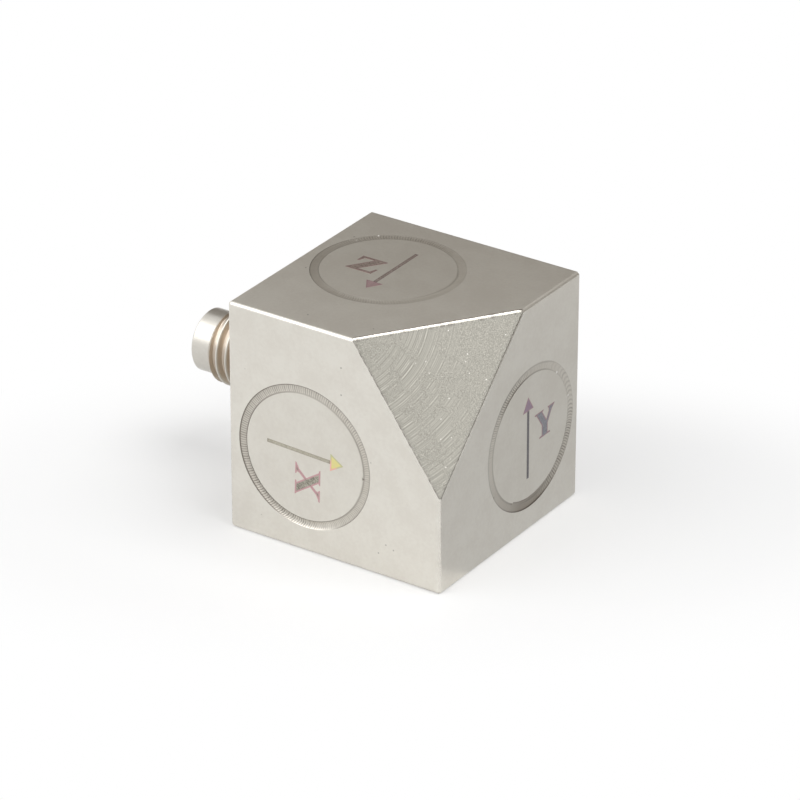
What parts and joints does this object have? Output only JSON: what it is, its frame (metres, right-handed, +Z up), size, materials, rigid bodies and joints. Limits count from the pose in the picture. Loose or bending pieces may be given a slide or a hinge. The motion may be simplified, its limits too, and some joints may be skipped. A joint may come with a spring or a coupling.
{
  "type": "triaxial vibration sensor",
  "caption": "Steel cube vibration sensor with a cut-off corner, round welded caps over shear sensing elements, a threaded multi-pin connector and a tapped mounting hole.",
  "frame": {"origin": "centre of the bottom face of the cubic block, on which the sensor stands", "axes": "+Z up; -Y out of the front face with the X cap; +X out of the right face with the Y cap; +Z out of the top face with the Z cap; the connector leaves along -X and the mounting hole opens at +Y"},
  "size_m": [0.0291, 0.02, 0.02],
  "materials": {
    "steel_block": "fine bead-blasted satin",
    "steel_cap": "fine bead-blasted satin",
    "weld_metal": "rippled weld bead, slightly tinted by heat",
    "connector_steel": "turned, with a screw thread",
    "seal_glass": "opaque fused glass",
    "pin_gold": "gold plated",
    "board_laminate": "solder-masked laminate",
    "chip_resin": "moulded resin",
    "lead_insulation": "extruded insulation",
    "element_steel": "machined",
    "piezo_ceramic": "lapped",
    "mass_steel": "ground",
    "ring_steel": "turned"
  },
  "bodies": {
    "root": {"housing": "steel_block", "x_cap": "steel_cap", "y_cap": "steel_cap", "z_cap": "steel_cap", "x_weld_seam": "weld_metal", "y_weld_seam": "weld_metal", "z_weld_seam": "weld_metal", "connector_shell": "connector_steel", "connector_weld_seam": "weld_metal", "glass_seal": "seal_glass", "contact_pin_1": "pin_gold", "contact_pin_2": "pin_gold", "contact_pin_3": "pin_gold", "contact_pin_4": "pin_gold", "amplifier_board": "board_laminate", "x_amplifier_chip": "chip_resin", "y_amplifier_chip": "chip_resin", "z_amplifier_chip": "chip_resin", "x_lead": "lead_insulation", "y_lead": "lead_insulation", "z_lead": "lead_insulation", "x_post": "element_steel", "y_post": "element_steel", "z_post": "element_steel", "x_piezo_plate_1": "piezo_ceramic", "x_piezo_plate_2": "piezo_ceramic", "y_piezo_plate_1": "piezo_ceramic", "y_piezo_plate_2": "piezo_ceramic", "z_piezo_plate_1": "piezo_ceramic", "z_piezo_plate_2": "piezo_ceramic", "x_seismic_mass_1": "mass_steel", "x_seismic_mass_2": "mass_steel", "y_seismic_mass_1": "mass_steel", "y_seismic_mass_2": "mass_steel", "z_seismic_mass_1": "mass_steel", "z_seismic_mass_2": "mass_steel", "x_preload_ring": "ring_steel", "y_preload_ring": "ring_steel", "z_preload_ring": "ring_steel"}
  },
  "joints": []
}
